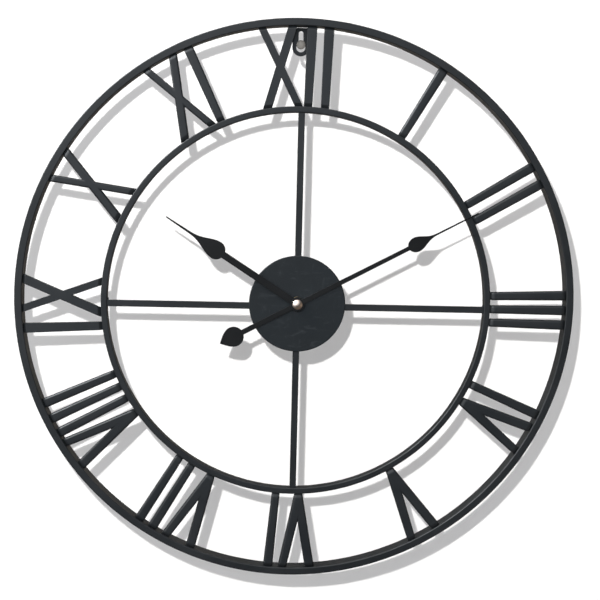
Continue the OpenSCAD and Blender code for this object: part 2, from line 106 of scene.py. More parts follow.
class ClockSizes(bpy.types.PropertyGroup):
    """Radii of edges and other small sizes that the frame leaves to the finish."""

    ring_corner: length("Outer ring corner", "Radius of the outer ring's tube corners", 0.0013)
    inner_corner: length("Inner ring corner", "Radius of the inner ring's tube corners", 0.0012)
    seam_width: length("Ring seam", "Width of the ground butt seams on the rings", 0.0005)
    numeral_edge: length("Numeral edge", "Radius of the pressed numerals' front edges", 0.002)
    spoke_edge: length("Spoke edge", "Radius of the flat bars' edges", 0.0004)
    disc_edge: length("Disc edge", "Radius of the centre disc's edge", 0.0004)
    tab_edge: length("Tab edge", "Radius of the hanging tab's edges", 0.0003)
    hand_edge: length("Hand edge", "Radius of the hands' front edges", 0.00045)
    case_corner: length("Case corner", "Radius of the movement case's upright corners", 0.0018)
    case_edge: length("Case edge", "Radius of the movement case's front and back edges", 0.0006)
    bead: length("Weld bead", "Half height of the weld beads behind the numerals", 0.0011)


class ClockColours(bpy.types.PropertyGroup):
    """Colours of the finishes."""

    paint: colour("Ring paint", "Satin black paint of rings, spokes and tab", (0.0062, 0.0075, 0.0085))
    paint_worn: colour("Ring paint, thin", "Where the ring paint lies thin", (0.012, 0.0135, 0.015))
    numeral: colour("Numeral paint", "Satin black paint of the numerals", (0.0058, 0.0074, 0.0088))
    disc: colour("Disc paint", "Flat black paint of the centre disc", (0.005, 0.0068, 0.0082))
    scuff: colour("Disc scuffs", "Faint scuffs on the centre disc", (0.022, 0.025, 0.028))
    hand: colour("Hand paint", "Satin black paint of the hands", (0.0032, 0.0034, 0.0036))
    case: colour("Case plastic", "Black moulded plastic", (0.014, 0.014, 0.015))
    acetal: colour("Wheel plastic", "Natural acetal", (0.74, 0.7, 0.6))
    brass: colour("Brass", "Turned brass", (0.78, 0.58, 0.28))
    cap: colour("Cap brass", "Pale polished brass", (0.96, 0.8, 0.68))
    steel: colour("Bright steel", "Nickel-plated steel", (0.62, 0.62, 0.63))
    iron: colour("Soft iron", "Stamped soft iron", (0.42, 0.42, 0.43))
    rubber: colour("Rubber", "Matt black rubber", (0.02, 0.02, 0.02))
    copper: colour("Copper wire", "Enamelled copper wire", (0.62, 0.24, 0.1))
    board: colour("Circuit board", "Green solder mask", (0.02, 0.12, 0.05))
    resin: colour("Chip resin", "Black potting resin", (0.012, 0.012, 0.012))
    wrap: colour("Battery wrap", "Body of the battery's wrap", (0.02, 0.021, 0.024))
    band: colour("Battery band", "Band at the battery's positive end", (0.55, 0.2, 0.04))
    ferrite: colour("Magnet", "Sintered ferrite", (0.05, 0.05, 0.055))


class ClockStage(bpy.types.PropertyGroup):
    """The wall, the lights and the camera."""

    wall_gap: length("Wall gap", "From the back of the clock to the backdrop", 0.25)
    wall: colour("Wall", "Colour of the backdrop", (0.985, 0.965, 0.945))
    key_energy: FloatProperty(name="Key light", description="Power of the lamp that casts the shadow",
                              default=17.0, min=0.0, unit="POWER")
    soft_energy: FloatProperty(name="Soft light", description="Power of the upper left soft box",
                               default=70.0, min=0.0, unit="POWER")
    warm_energy: FloatProperty(name="Warm card", description="Power of the warm card on the right",
                               default=0.5, min=0.0, unit="POWER")
    back_energy: FloatProperty(name="Back fill", description="Power of the fill behind the clock",
                               default=9.0, min=0.0, unit="POWER")
    surround: FloatProperty(name="Surround", description="Brightness of the room around the clock",
                            default=0.39, min=0.0)
    lens: FloatProperty(name="Lens", description="Focal length of the camera", default=65.5, min=1.0,
                        unit="CAMERA")


# ---------------------------------------------------------------- modelling


def deselect_all():
    if bpy.context.mode != "OBJECT":
        bpy.ops.object.mode_set(mode="OBJECT")
    bpy.ops.object.select_all(action="DESELECT")


def select_only(ob):
    deselect_all()
    ob.select_set(True)
    bpy.context.view_layer.objects.active = ob


def open_mesh(ob):
    """Opens one object in edit mode, with all of it selected."""
    select_only(ob)
    bpy.ops.object.mode_set(mode="EDIT")
    bpy.ops.mesh.select_all(action="SELECT")


def close_mesh():
    """Leaves edit mode and returns the object."""
    bpy.ops.object.mode_set(mode="OBJECT")
    return bpy.context.object


def pick(ob, kind, test):
    """In edit mode, selects the vertices, edges or faces that pass the test."""
    bpy.ops.mesh.select_mode(type=kind)
    bpy.ops.mesh.select_all(action="DESELECT")
    mesh = bmesh.from_edit_mesh(ob.data)
    found = [part for part in {"VERT": mesh.verts, "EDGE": mesh.edges, "FACE": mesh.faces}[kind]
             if test(part)]
    if not found:
        raise RuntimeError(f"nothing to select on {ob.name}")
    for part in found:
        part.select_set(True)
    mesh.select_flush_mode()
    bmesh.update_edit_mesh(ob.data)


def tidy_mesh():
    """Merges the points that meet and turns all faces outwards."""
    bpy.ops.mesh.select_all(action="SELECT")
    bpy.ops.mesh.remove_doubles(threshold=1e-6)
    bpy.ops.mesh.normals_make_consistent(inside=False)


def apply_modifier(ob, kind, **settings):
    select_only(ob)
    modifier = ob.modifiers.new(kind.title(), kind)
    for key, value in settings.items():
        setattr(modifier, key, value)
    bpy.ops.object.modifier_apply(modifier=modifier.name)


def start_line(name, at):
    """A new object with one vertex, in edit mode."""
    deselect_all()
    bpy.ops.mesh.primitive_plane_add(size=0.001, location=(0, 0, 0))
    ob = bpy.context.object
    ob.name = ob.data.name = name
    bpy.ops.object.mode_set(mode="EDIT")
    bpy.ops.mesh.select_mode(type="VERT")
    bpy.ops.mesh.select_all(action="SELECT")
    bpy.ops.mesh.merge(type="CENTER")
    bpy.ops.transform.translate(value=at)
    return ob


def draw_line(points):
    """Extrudes the selected vertex from the first point to each of the others."""
    for here, there in zip(points, points[1:]):
        bpy.ops.mesh.extrude_region_move(TRANSFORM_OT_translate={"value": Vector(there) - Vector(here)})


def rounded(corners, radii, steps=4):
    """A closed outline with its corners rounded to the given radii."""
    outline = []
    count = len(corners)
    for i, radius in enumerate(radii):
        corner = Vector(corners[i])
        before = (Vector(corners[i - 1]) - corner).normalized()
        after = (Vector(corners[(i + 1) % count]) - corner).normalized()
        half = before.angle(after) / 2
        centre = corner + (before + after).normalized() * radius / math.sin(half)
        start = corner + before * radius / math.tan(half) - centre
        end = corner + after * radius / math.tan(half) - centre
        outline += [tuple(centre + start.slerp(end, k / steps)) for k in range(steps + 1)]
    return outline


def lathe(name, outline, steps, closed=True):
    """Turns an outline of (radius, height) in millimetres about the hands' axis."""
    points = [(r * MM, -h * MM, 0) for r, h in outline]
    if closed:
        points.append(points[0])
    start_line(name, points[0])
    draw_line(points)
    bpy.ops.mesh.select_all(action="SELECT")
    bpy.ops.mesh.spin(steps=steps, angle=math.tau, center=(0, 0, 0), axis=(0, 1, 0))
    tidy_mesh()
    return close_mesh()


def twin_of(ob, name):
    """A copy of an object with its own mesh."""
    twin = bpy.data.objects.new(name, ob.data.copy())
    bpy.context.scene.collection.objects.link(twin)
    twin.data.name = name
    return twin


def copy_of(node, name):
    """A merged copy of a node, in edit mode, with the triangles of each flat face joined."""
    ob = twin_of(NODES[node], name)
    ob.data.materials.clear()
    open_mesh(ob)
    bpy.ops.mesh.customdata_custom_splitnormals_clear()
    bpy.ops.mesh.remove_doubles(threshold=2e-6)
    bpy.ops.mesh.dissolve_limited(angle_limit=math.radians(0.5))
    return ob


def bevel_picked(width, segments):
    bpy.ops.mesh.bevel(offset=width, segments=segments, affect="EDGES", clamp_overlap=True)


def sharp(edge, degrees=25):
    return len(edge.link_faces) == 2 and edge.calc_face_angle(0) > math.radians(degrees)


def on_level(y):
    """A test for the sharp edges that lie in the upright plane at y."""
    return lambda edge: sharp(edge, 50) and all(abs(v.co.y - y) < 1e-5 for v in edge.verts)


def settle(ob, offset=(0, 0, 0), turn=(0, 0, 0)):
    """Moves and turns the object, and puts that into its mesh."""
    select_only(ob)
    ob.location = offset
    ob.rotation_euler = turn
    bpy.ops.object.transform_apply(location=True, rotation=True, scale=True)


def turned_copy(ob, name, angle):
    """A copy turned clockwise about the hands' axis as seen from the front."""
    twin = twin_of(ob, name)
    settle(twin, turn=(0, math.radians(angle), 0))
    return twin


def join(name, objects):
    deselect_all()
    for ob in objects:
        ob.select_set(True)
    bpy.context.view_layer.objects.active = objects[0]
    bpy.ops.object.join()
    ob = bpy.context.object
    ob.name = ob.data.name = name
    return ob


def finish_piece(ob, slot, body, nodes=(), smooth=40, weighted=True):
    """Shades and paints a piece, and hangs it on its body."""
    select_only(ob)
    ob.data.materials.clear()
    ob.data.materials.append(bpy.data.materials[slot])
    bpy.ops.object.shade_smooth_by_angle(angle=math.radians(smooth))
    if weighted:
        apply_modifier(ob, "WEIGHTED_NORMAL", keep_sharp=True, weight=60)
    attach(ob, body)
    if nodes:
        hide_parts(*nodes)


def eased_copy(node, name, test, width, segments, slot, body):
    """A finished copy of a node, with the edges that pass the test rounded."""
    piece = copy_of(node, name)
    pick(piece, "EDGE", test)
    bevel_picked(width, segments)
    close_mesh()
    finish_piece(piece, slot, body, [node])


def around(angle, radius, across, height):
    """A point at an angle clockwise from twelve, in metres from millimetres."""
    a = math.radians(angle)
    return Vector(((radius * math.sin(a) + across * math.cos(a)) * MM, -height * MM,
                   (radius * math.cos(a) - across * math.sin(a)) * MM))


# ---------------------------------------------------------------- finishes


def tinted(shade, share):
    return tuple(share * v for v in shade)


def fill_ramp(node, stops):
    """Sets the stops of a colour ramp: position and colour."""
    elements = node.color_ramp.elements
    while len(elements) < len(stops):
        elements.new(0.5)
    for element, (position, shade) in zip(elements, stops):
        element.position = position
        element.color = (*shade, 1)


class Finish:
    """A material with its principled shader and Object coordinates."""

    def __init__(self, name, roughness, metallic=0.0, specular=0.5):
        self.material = bpy.data.materials.get(name) or bpy.data.materials.new(name)
        self.material.use_nodes = True
        self.tree = self.material.node_tree
        self.tree.nodes.clear()
        self.output = self.node("ShaderNodeOutputMaterial")
        self.shader = self.node("ShaderNodeBsdfPrincipled")
        self.link(self.shader.outputs["BSDF"], self.output.inputs["Surface"])
        self.shader.inputs["Roughness"].default_value = roughness
        self.shader.inputs["Metallic"].default_value = metallic
        self.shader.inputs["Specular IOR Level"].default_value = specular
        self.place = self.node("ShaderNodeTexCoord").outputs["Object"]
        self.normal = None

    def node(self, kind, **settings):
        made = self.tree.nodes.new(kind)
        for key, value in settings.items():
            setattr(made, key, value)
        return made

    def link(self, start, end):
        self.tree.links.new(start, end)

    def mapped(self, scale, turn=(0, 0, 0)):
        mapping = self.node("ShaderNodeMapping")
        mapping.inputs["Scale"].default_value = scale
        mapping.inputs["Rotation"].default_value = turn
        self.link(self.place, mapping.inputs["Vector"])
        return mapping.outputs["Vector"]

    def noise(self, scale, detail=3.0, roughness=0.5, place=None, distortion=0.0):
        texture = self.node("ShaderNodeTexNoise")
        texture.inputs["Scale"].default_value = scale
        texture.inputs["Detail"].default_value = detail
        texture.inputs["Roughness"].default_value = roughness
        texture.inputs["Distortion"].default_value = distortion
        self.link(place or self.place, texture.inputs["Vector"])
        return texture.outputs["Fac"]

    def wave(self, scale, distortion, **settings):
        texture = self.node("ShaderNodeTexWave", **settings)
        texture.inputs["Scale"].default_value = scale
        texture.inputs["Distortion"].default_value = distortion
        self.link(self.place, texture.inputs["Vector"])
        return texture.outputs["Fac"]

    def spread(self, value, low, high, out_low, out_high):
        remap = self.node("ShaderNodeMapRange")
        remap.inputs["From Min"].default_value = low
        remap.inputs["From Max"].default_value = high
        remap.inputs["To Min"].default_value = out_low
        remap.inputs["To Max"].default_value = out_high
        self.link(value, remap.inputs["Value"])
        return remap.outputs["Result"]

    def bands(self, value, stops):
        """Colours that change in hard steps."""
        ramp = self.node("ShaderNodeValToRGB")
        ramp.color_ramp.interpolation = "CONSTANT"
        fill_ramp(ramp, stops)
        self.link(value, ramp.inputs["Fac"])
        return ramp.outputs["Color"]

    def blend(self, share, first, second):
        """Mixes two colours, each a value or the output of a node."""
        mix = self.node("ShaderNodeMix", data_type="RGBA")
        self.link(share, mix.inputs["Factor"])
        for value, slot in ((first, "A"), (second, "B")):
            socket = [s for s in mix.inputs if s.name == slot and s.type == "RGBA"][0]
            if isinstance(value, bpy.types.NodeSocket):
                self.link(value, socket)
            else:
                socket.default_value = (*value, 1.0)
        return [s for s in mix.outputs if s.type == "RGBA"][0]

    def paint(self, source):
        self.link(source, self.shader.inputs["Base Color"])

    def mottle(self, scale, detail, shade, share):
        """Paints clouds of a second tint over a colour."""
        self.paint(self.blend(self.noise(scale, detail), shade, tinted(shade, share)))

    def gloss(self, source, low, high):
        """Lets the roughness drift between two values."""
        self.link(self.spread(source, 0.3, 0.7, low, high), self.shader.inputs["Roughness"])

    def bump(self, height, distance, strength=1.0):
        """Adds a relief of the given depth, in metres, over any earlier one."""
        bump = self.node("ShaderNodeBump")
        bump.inputs["Strength"].default_value = strength
        bump.inputs["Distance"].default_value = distance
        self.link(height, bump.inputs["Height"])
        if self.normal:
            self.link(self.normal, bump.inputs["Normal"])
        self.normal = bump.outputs["Normal"]
        self.link(self.normal, self.shader.inputs["Normal"])


def black_paint(name, dark, thin, rough_low, rough_high, grain=1.0, specular=0.5):
    """Sprayed paint: cloudy gloss, an orange-peel surface and fine grain."""
    finish = Finish(name, rough_low, specular=specular)
    clouds = finish.blend(finish.spread(finish.noise(14, 4, 0.6), 0.35, 0.75, 0, 1), dark, thin)
    finish.paint(clouds)
    finish.gloss(finish.noise(38, 5, 0.65), rough_low, rough_high)
    finish.bump(finish.noise(420, 2, 0.5), 0.00012 * grain, 0.6)
    finish.bump(finish.noise(900, 2, 0.6), 0.00004 * grain, 0.8)
    return finish, clouds


class CLOCK_OT_finishes(bpy.types.Operator):
    """Makes the paints, metals and plastics of the clock"""

    bl_idname = "clock.finishes"
    bl_label = "Finishes"

    def execute(self, context):
        c = context.scene.clock_colours
        black_paint("frame_paint", c.paint, c.paint_worn, 0.36, 0.5)
        black_paint("numeral_paint", c.numeral, c.paint_worn, 0.38, 0.52)
        black_paint("hand_paint", c.hand, tinted(c.hand, 2), 0.34, 0.46, 0.5, 0.3)

        disc, clouds = black_paint("disc_paint", c.disc, tinted(c.disc, 1.5), 0.46, 0.6, 0.7, 0.4)
        strokes = disc.noise(60, 6, 0.7, disc.mapped((0.8, 1, 2.4), (0, 0.7, 0)), 0.8)
        rubs = disc.noise(130, 5, 0.75, disc.mapped((2.6, 1, 0.6), (0, 0.35, 0)), 0.6)
        scuffed = disc.blend(disc.spread(strokes, 0.56, 0.74, 0, 0.8), clouds, c.scuff)
        disc.paint(disc.blend(disc.spread(rubs, 0.58, 0.76, 0, 0.7), scuffed, c.scuff))

        case = Finish("case_plastic", 0.5)
        case.mottle(30, 3, c.case, 1.7)
        case.gloss(case.noise(70, 4), 0.44, 0.62)
        case.bump(case.noise(2600, 2, 0.6), 0.00005, 0.7)

        acetal = Finish("wheel_plastic", 0.42)
        acetal.mottle(160, 3, c.acetal, 0.86)
        acetal.gloss(acetal.noise(300, 3), 0.36, 0.5)
        acetal.bump(acetal.noise(1500, 2), 0.00002, 0.5)
        acetal.shader.inputs["Subsurface Weight"].default_value = 0.08
        acetal.shader.inputs["Subsurface Radius"].default_value = (0.001, 0.0008, 0.0006)

        for name, shade, marks in (("stem_brass", c.brass, 2600), ("cap_brass", c.cap, 1500)):
            brass = Finish(name, 0.3, metallic=1.0)
            tarnish = brass.spread(brass.noise(260, 4, 0.6), 0.4, 0.75, 0, 0.6)
            brass.paint(brass.blend(tarnish, shade, (0.6 * shade[0], 0.5 * shade[1], 0.45 * shade[2])))
            brass.gloss(brass.noise(500, 4), 0.3, 0.44)
            turning = brass.wave(marks, 0.4, wave_type="RINGS", rings_direction="Y")
            brass.bump(turning, 0.000006, 0.6)

        for name, shade, dull in (("bright_steel", c.steel, 0.24), ("soft_iron", c.iron, 0.4)):
            metal = Finish(name, dull, metallic=1.0)
            streaks = metal.noise(220, 4, 0.6, metal.mapped((1, 1, 14)))
            metal.paint(metal.blend(streaks, shade, tinted(shade, 0.72)))
            metal.gloss(streaks, dull, dull + 0.16)
            metal.bump(streaks, 0.000008, 0.6)

        rubber = Finish("washer_rubber", 0.8, specular=0.35)
        rubber.mottle(200, 3, c.rubber, 1.6)
        rubber.bump(rubber.noise(1400, 3), 0.00004, 0.7)

        copper = Finish("coil_copper", 0.28, metallic=1.0)
        turns = copper.wave(3200, 0.6, wave_type="BANDS", bands_direction="X")
        copper.paint(copper.blend(turns, tinted(c.copper, 0.55), c.copper))
        copper.gloss(copper.noise(400, 3), 0.22, 0.4)
        copper.bump(turns, 0.00003, 0.8)

        board = Finish("board_green", 0.35)
        tracks = board.noise(420, 1, 0.3, board.mapped((1, 1, 4)))
        board.paint(board.blend(board.spread(tracks, 0.52, 0.56, 0, 1), c.board, tinted(c.board, 2.2)))
        board.bump(tracks, 0.00002, 0.6)

        resin = Finish("chip_resin", 0.3)
        resin.mottle(500, 3, c.resin, 1.8)
        resin.bump(resin.noise(900, 2), 0.00005, 0.6)

        # Bare steel at the battery's ends, then the wrap's body and its band
        wrap = Finish("battery_wrap", 0.25)
        along = wrap.node("ShaderNodeSeparateXYZ")
        wrap.link(wrap.place, along.inputs["Vector"])
        share = wrap.spread(along.outputs["X"], -0.0254, 0.0241, 0, 1)
        bare = (0.5, 0.5, 0.5)
        wrap.paint(wrap.bands(share, [(0, bare), (0.025, c.wrap), (0.7, c.band), (0.985, bare)]))
        wrap.gloss(wrap.noise(260, 4), 0.2, 0.36)
        wrap.bump(wrap.noise(300, 3), 0.00003, 0.5)

        ferrite = Finish("magnet_ferrite", 0.5, metallic=0.4)
        ferrite.mottle(900, 4, c.ferrite, 2)
        ferrite.bump(ferrite.noise(1600, 4), 0.00003, 0.7)
        return {"FINISHED"}


# ---------------------------------------------------------------- rings and numerals


def tube_ring(node, face, corner, steps, seams, seam_width):
    """A ring rolled from rectangular tube, closed by ground butt seams at the given angles."""
    low, high = (Vector(end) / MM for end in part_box(node))
    inner, outer, back, front = high.x - face, high.x, -high.y, -low.y
    outline = rounded([(inner, front), (outer, front), (outer, back), (inner, back)], [corner / MM] * 4)
    ring = lathe(f"{node}_tube", outline, steps)
    open_mesh(ring)
    for seam in seams:
        whole = round(seam / 360 * steps) * 360 / steps

        def on_seam(vert, whole=whole):
            angle = math.degrees(math.atan2(vert.co.x, vert.co.z)) % 360
            return abs((angle - whole + 180) % 360 - 180) < 0.02

        pick(ring, "EDGE", lambda edge: all(on_seam(v) for v in edge.verts))
        bpy.ops.mesh.bevel(offset=seam_width / 2, segments=2, affect="EDGES")
        pick(ring, "VERT", on_seam)
        bpy.ops.transform.shrink_fatten(value=-0.00016)
    close_mesh()
    finish_piece(ring, "frame_paint", "frame", [node])


class CLOCK_OT_rings(bpy.types.Operator):
    """Models the two rolled tube rings"""

    bl_idname = "clock.rings"
    bl_label = "Rings"

    def execute(self, context):
        s = context.scene.clock_sizes
        tube_ring("outer_ring", 8.5, s.ring_corner, 360, (72, 240), s.seam_width)
        tube_ring("inner_ring", 7, s.inner_corner, 288, (197.5,), s.seam_width)
        return {"FINISHED"}


class CLOCK_OT_numerals(bpy.types.Operator):
    """Models the twelve pressed numerals with rounded front edges"""

    bl_idname = "clock.numerals"
    bl_label = "Numerals"

    def execute(self, context):
        s = context.scene.clock_sizes
        # Heights of the tray's inside and of the lower ends of its sloped ends, in mm
        tray_inside, slope_foot = 16.5, 15

        def front_edge(edge):
            ends = [-v.co.y / MM for v in edge.verts]
            inside = all(abs(y - tray_inside) < 0.01 for y in ends)
            at_ring = all(abs(y - slope_foot) < 0.01 for y in ends)
            return min(ends) > slope_foot - 0.02 and not inside and not at_ring and sharp(edge)

        for hour in range(1, 13):
            eased_copy(f"numeral_{hour}", f"numeral_{hour}_pressing", front_edge, s.numeral_edge, 3,
                       "numeral_paint", "frame")
        return {"FINISHED"}


class CLOCK_OT_welds(bpy.types.Operator):
    """Models the weld beads behind the numerals and spokes"""

    bl_idname = "clock.welds"
    bl_label = "Weld beads"

    def execute(self, context):
        s = context.scene.clock_sizes
        beads = []

        def bead(angle, radius, across, height, width):
            deselect_all()
            bpy.ops.mesh.primitive_ico_sphere_add(subdivisions=2, radius=s.bead,
                                                  location=around(angle, radius, across, height))
            ob = bpy.context.object
            ob.scale = (width * MM / (2 * s.bead), 0.8, 1)
            ob.rotation_euler = (0, math.radians(angle), 0)
            bpy.ops.object.transform_apply(location=True, rotation=True, scale=True)
            bpy.ops.object.mode_set(mode="EDIT")
            bpy.ops.mesh.select_all(action="SELECT")
            bpy.ops.transform.vertex_random(offset=0.00012, seed=len(beads))
            beads.append(close_mesh())

        for hour, letters in enumerate(NUMERALS, 1):
            for letter, offset, lean in letters:
                shift = HALF_BAND * math.sin(math.radians(lean))
                for welds, radius, moved in ((WELDS_INNER[letter], WELD_INNER_R, -shift),
                                             (WELDS_OUTER[letter], WELD_OUTER_R, shift)):
                    for across, width in welds:
                        across += moved
                        reach = math.sqrt(radius ** 2 - across ** 2)
                        bead(30 * hour + offset, reach, across, 11.5, width)
        for quarter in range(4):
            bead(90 * quarter, 201.4, 0, 13.5, 6)
            bead(90 * quarter, 49.5, 0, 16.6, 6)
        piece = join("weld_beads", beads)
        finish_piece(piece, "frame_paint", "frame", smooth=60, weighted=False)
        return {"FINISHED"}


class CLOCK_OT_spokes(bpy.types.Operator):
    """Models the four flat bars that carry the centre disc"""

    bl_idname = "clock.spokes"
    bl_label = "Spokes"

    def execute(self, context):
        s = context.scene.clock_sizes
        low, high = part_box("spoke_12")
        deselect_all()
        bpy.ops.mesh.primitive_cube_add(size=1, location=(low + high) / 2)
        bar = bpy.context.object
        bar.scale = high - low
        bpy.ops.object.transform_apply(location=True, rotation=True, scale=True)
        open_mesh(bar)
        pick(bar, "EDGE", lambda edge: abs((edge.verts[0].co - edge.verts[1].co).z) > 0.1)
        bevel_picked(s.spoke_edge, 3)
        pick(bar, "EDGE", lambda edge: all(v.co.z < low.z + 1e-5 for v in edge.verts))
        bevel_picked(0.5 * s.spoke_edge, 2)
        close_mesh()
        for quarter in range(4):
            hour = 12 if quarter == 0 else 3 * quarter
            piece = turned_copy(bar, f"spoke_{hour}_bar", 90 * quarter)
            # The level pair is set a little lower than the hands' axis
            middle = sum(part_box(f"spoke_{hour}"), Vector()) / 2
            settle(piece, offset=(0, 0, middle.z) if quarter % 2 else (middle.x, 0, 0))
            finish_piece(piece, "frame_paint", "frame", [f"spoke_{hour}"])
        bpy.data.objects.remove(bar)
        return {"FINISHED"}


class CLOCK_OT_centre_disc(bpy.types.Operator):
    """Models the centre disc with its rolled edge and stem hole"""

    bl_idname = "clock.centre_disc"
    bl_label = "Centre disc"

    def execute(self, context):
        s = context.scene.clock_sizes
        low, high = (Vector(corner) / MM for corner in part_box("centre_disc"))
        front, back, edge = -low.y, -high.y, s.disc_edge / MM
        outline = rounded([(4.05, front), (high.x, front), (high.x, back), (4.05, back)],
                          [0.15, edge, edge, 0.15], 3)
        disc = lathe("centre_disc_plate", outline, 144)
        finish_piece(disc, "disc_paint", "frame", ["centre_disc"])
        return {"FINISHED"}


class CLOCK_OT_hanger(bpy.types.Operator):
    """Models the hanging tab with its keyhole"""

    bl_idname = "clock.hanger"
    bl_label = "Hanging tab"

    def execute(self, context):
        s = context.scene.clock_sizes
        eased_copy("hanger_tab", "hanger_tab_plate",
                   lambda e: sharp(e, 60) and abs(e.verts[0].co.y - e.verts[1].co.y) < 1e-6,
                   s.tab_edge, 2, "frame_paint", "frame")
        return {"FINISHED"}


# ---------------------------------------------------------------- hands and fixings


class CLOCK_OT_hands(bpy.types.Operator):
    """Models the two spade hands with eased front edges"""

    bl_idname = "clock.hands"
    bl_label = "Hands"

    def execute(self, context):
        s = context.scene.clock_sizes
        for name, body in (("minute_hand", "minute_works"), ("hour_hand", "hour_works")):
            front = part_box(name)[0].y
            eased_copy(name, f"{name}_plate", on_level(front), s.hand_edge, 2, "hand_paint", body)
        return {"FINISHED"}


def turned_ring(node, bore, radius, back, front, corners, steps, slot, body):
    """A finished ring turned to the given sizes in mm, with its corners eased."""
    outline = rounded([(bore, front), (radius, front), (radius, back), (bore, back)], corners, 3)
    finish_piece(lathe(f"{node}_ring", outline, steps), slot, body, [node])


class CLOCK_OT_fixings(bpy.types.Operator):
    """Models the hand collets and the domed cap nut"""

    bl_idname = "clock.fixings"
    bl_label = "Collets and cap nut"

    def execute(self, context):
        for name, radius, bore, back, front, body in (
                ("minute_collet", 3.5, 1.5, 23.4, 24.0, "minute_works"),
                ("hour_collet", 4.5, 2.5, 20.9, 22.0, "hour_works")):
            turned_ring(name, bore, radius, back, front, [0.05, 0.1, 0.18, 0.1], 48, "hand_paint", body)

        # The nut: knurled skirt, groove, dome, and the blind bore over the arbor's end
        dome_r, dome_centre = 6.5, 22.5
        slopes = [math.radians(a) for a in range(0, 52, 3)]
        top = [(dome_r * math.sin(a), dome_centre + dome_r * math.cos(a)) for a in slopes]
        outline = top + [(5.14, 26.5), (5.2, 26.38), (5.2, 26.2), (4.98, 26.12), (4.98, 25.98),
                         (5.2, 25.9), (5.2, 25.1), (5.05, 24.8), (1.7, 24.8), (1.5, 24.95),
                         (1.5, 27.2), (0, 27.25)]
        nut = lathe("cap_nut_dome", outline, 96, closed=False)
        open_mesh(nut)

        def on_skirt(face):
            middle = face.calc_center_median() / MM
            column = math.floor(math.degrees(math.atan2(middle.x, middle.z)) / 3.75)
            return 25.1 < -middle.y < 25.9 and math.hypot(middle.x, middle.z) > 5 and column % 2 == 0

        pick(nut, "FACE", on_skirt)
        bpy.ops.mesh.inset(thickness=0.00003, depth=-0.0001, use_individual=True)
        close_mesh()
        finish_piece(nut, "cap_brass", "minute_works", ["cap_nut"], smooth=30)
        return {"FINISHED"}


class CLOCK_OT_stem(bpy.types.Operator):
    """Models the threaded stem, its hexagon nut and both washers"""

    bl_idname = "clock.stem"
    bl_label = "Stem, nut and washers"

    def execute(self, context):
        pitch, root, crest = 0.75, 3.62, 4.0
        outline = [(2.55, 20.5), (2.65, 20.6), (3.6, 20.6), (crest, 20.3)]
        height = 20.3
        while height > 16.6:
            outline += [(root, height - pitch / 2), (crest, height - pitch)]
            height -= pitch
        outline += [(crest, 15.0), (5.4, 15.0), (5.5, 14.9), (5.5, 14.2), (2.55, 14.2)]
        stem = lathe("threaded_stem_turning", outline, 64)
        finish_piece(stem, "stem_brass", "frame", ["threaded_stem"], smooth=35)

        for name, slot, radius, back, front, edge in (
                ("rubber_washer", "washer_rubber", 9, 15.8, 16.6, 0.25),
                ("brass_washer", "stem_brass", 7, 17.8, 18.3, 0.12)):
            turned_ring(name, 4.05, radius, back, front, [edge / 2, edge, edge, edge / 2], 72, slot,
                        "frame")

        # Hexagon nut: cut from a bar, its corners turned down by a chamfer on both faces
        deselect_all()
        flats, back, front = 11.0, 18.3, 20.3
        bpy.ops.mesh.primitive_cylinder_add(vertices=6, radius=flats / 2 / math.cos(math.pi / 6) * MM,
                                            depth=(front - back) * MM,
                                            location=(0, -(front + back) / 2 * MM, 0),
                                            rotation=(math.pi / 2, 0, math.pi / 2))
        nut = bpy.context.object
        nut.name = nut.data.name = "stem_nut_hexagon"
        bpy.ops.object.transform_apply(location=True, rotation=True, scale=True)
        turn = lathe("nut_chamfer", [(4.0, front), (5.45, front), (6.5, front - 0.6), (6.5, back + 0.6),
                                     (5.45, back), (4.0, back)], 72)
        apply_modifier(nut, "BOOLEAN", operation="INTERSECT", object=turn, solver="EXACT")
        bpy.data.objects.remove(turn)
        finish_piece(nut, "stem_brass", "frame", ["stem_nut"], smooth=20)
        return {"FINISHED"}


# ---------------------------------------------------------------- movement


class CLOCK_OT_case(bpy.types.Operator):
    """Models the moulded movement case and its back cover"""

    bl_idname = "clock.case"
    bl_label = "Movement case"

    def execute(self, context):
        s = context.scene.clock_sizes
        low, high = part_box("front_case")
        case = copy_of("front_case", "front_case_moulding")
        close_mesh()

        # The case's corners and front edges are rounded by a block drawn around it
        def block(size, place):
            deselect_all()
            bpy.ops.mesh.primitive_cube_add(size=1, location=place)
            ob = context.object
            ob.scale = size
            bpy.ops.object.transform_apply(location=True, rotation=True, scale=True)
            return ob

        deep = high.y - low.y + 0.002
        form = block((high.x - low.x, deep, high.z - low.z), (0, low.y + deep / 2, (low.z + high.z) / 2))
        open_mesh(form)
        pick(form, "EDGE", lambda e: abs(e.verts[0].co.y - e.verts[1].co.y) > 0.001)
        bevel_picked(s.case_corner, 5)
        pick(form, "EDGE", lambda e: sharp(e, 50) and all(v.co.y < low.y + 1e-5 for v in e.verts))
        bevel_picked(s.case_edge, 3)
        close_mesh()
        apply_modifier(case, "BOOLEAN", operation="INTERSECT", object=form, solver="EXACT")
        bpy.data.objects.remove(form)
        # Shallow panels sunk in the left and right walls
        for side in (low.x, high.x):
            panel = block((0.0006, 0.009, 0.034), (side, -0.0076, 0.006))
            apply_modifier(case, "BOOLEAN", operation="DIFFERENCE", object=panel, solver="EXACT")
            bpy.data.objects.remove(panel)
        finish_piece(case, "case_plastic", "frame", ["front_case"])

        eased_copy("back_cover", "back_cover_moulding", on_level(0), 0.00025, 2, "case_plastic", "frame")
        return {"FINISHED"}


class CLOCK_OT_knob(bpy.types.Operator):
    """Models the hand-setting knob with its finger grips"""

    bl_idname = "clock.knob"
    bl_label = "Setting knob"

    def execute(self, context):
        eased_copy("setting_knob", "setting_knob_moulding", on_level(-0.0004), 0.0002, 2,
                   "case_plastic", "setting_works")
        return {"FINISHED"}


